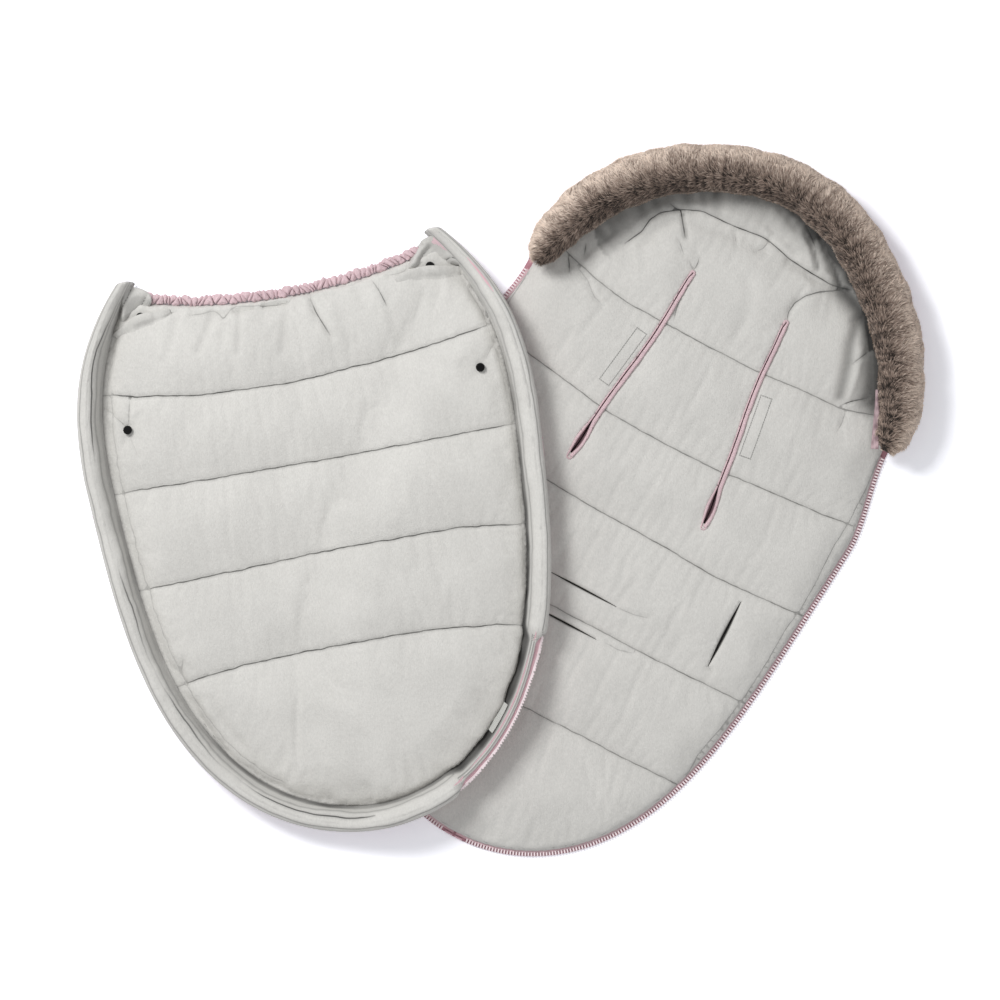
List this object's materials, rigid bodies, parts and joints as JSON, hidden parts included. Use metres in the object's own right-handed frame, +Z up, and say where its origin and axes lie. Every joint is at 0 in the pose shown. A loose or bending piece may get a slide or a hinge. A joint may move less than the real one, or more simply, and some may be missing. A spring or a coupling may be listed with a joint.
{
  "type": "stroller footmuff",
  "caption": "Quilted stroller footmuff laid out unzipped: hooded back with harness slots and a fur collar, and a shallow zip-off front cover.",
  "frame": {"origin": "on the underside of the back half's outer cloth, on its middle line, at the widest part below the harness slots' lower ends", "axes": "+X to the right of the back half as seen from above with the hood away from the viewer, +Y along the back half towards the hood, +Z up out of the lining"},
  "size_m": [0.9284, 0.9885, 0.067],
  "materials": {
    "outer_cloth": "pink woven cloth with small dark dots",
    "fleece": "light grey fuzzy pile",
    "wadding": "white polyester filling",
    "fur": "long brown pile with pale tips",
    "elastic": "white woven elastic",
    "zip_tape": "pink woven tape",
    "zip_teeth": "pale moulded teeth",
    "hook_tape": "pale hook tape",
    "black_plastic": "black moulded stud",
    "zip_metal": "pink painted cast metal",
    "label_weave": "plain grey woven label"
  },
  "bodies": {
    "back_half": {"back_lining": "fleece", "back_outer_shell": "outer_cloth", "back_wadding": "wadding", "back_zip_pin_left": "zip_metal", "back_zip_pin_right": "zip_metal", "back_zip_tape_left": "zip_tape", "back_zip_tape_right": "zip_tape", "back_zip_teeth_left": "zip_teeth", "back_zip_teeth_right": "zip_teeth", "fur_collar": "fur", "hood_elastic": "elastic", "hood_lining": "fleece", "hood_outer_shell": "outer_cloth", "hook_patch_left": "hook_tape", "hook_patch_right": "hook_tape", "shoulder_slot_binding_left": "outer_cloth", "shoulder_slot_binding_right": "outer_cloth"},
    "front_cover": {"care_label": "label_weave", "cover_lining": "fleece", "cover_outer_shell": "outer_cloth", "cover_top_casing": "outer_cloth", "cover_top_elastic": "elastic", "cover_wadding": "wadding", "cover_zip_box_left": "zip_metal", "cover_zip_box_right": "zip_metal", "cover_zip_tape_left": "zip_tape", "cover_zip_tape_right": "zip_tape", "cover_zip_teeth_left": "zip_teeth", "cover_zip_teeth_right": "zip_teeth", "gusset_lining": "fleece", "gusset_outer": "outer_cloth", "snap_cap_side_left": "black_plastic", "snap_cap_side_right": "black_plastic", "snap_cap_top_left": "black_plastic", "snap_cap_top_right": "black_plastic", "snap_socket_side_left": "black_plastic", "snap_socket_side_right": "black_plastic", "snap_socket_top_left": "black_plastic", "snap_socket_top_right": "black_plastic"},
    "zip_slider_left": {"zip_slider_left": "zip_metal"},
    "zip_slider_right": {"zip_slider_right": "zip_metal"},
    "zip_pull_left": {"zip_pull_left": "zip_metal"},
    "zip_pull_right": {"zip_pull_right": "zip_metal"}
  },
  "joints": [
    {"name": "cover_lift_off", "type": "slide", "parent": "back_half", "child": "front_cover", "axis": [0, 0, 1], "range_m": [0, 0.2]},
    {"name": "slider_run_left", "type": "slide", "parent": "front_cover", "child": "zip_slider_left", "axis": [0.6626, -0.749, 0], "range_m": [-0.03, 0.03]},
    {"name": "slider_run_right", "type": "slide", "parent": "front_cover", "child": "zip_slider_right", "axis": [0.5664, -0.8241, 0], "range_m": [-0.03, 0.03]},
    {"name": "pull_swing_left", "type": "hinge", "parent": "zip_slider_left", "child": "zip_pull_left", "pos_m": [-0.55964, -0.31846, 0.03214], "axis": [-0.2548, -0.2255, -0.9403], "range_deg": [0, 170]},
    {"name": "pull_swing_right", "type": "hinge", "parent": "zip_slider_right", "child": "zip_pull_right", "pos_m": [-0.13159, 0.01597, 0.05254], "axis": [-0.2804, -0.1927, 0.9403], "range_deg": [0, 170]}
  ]
}
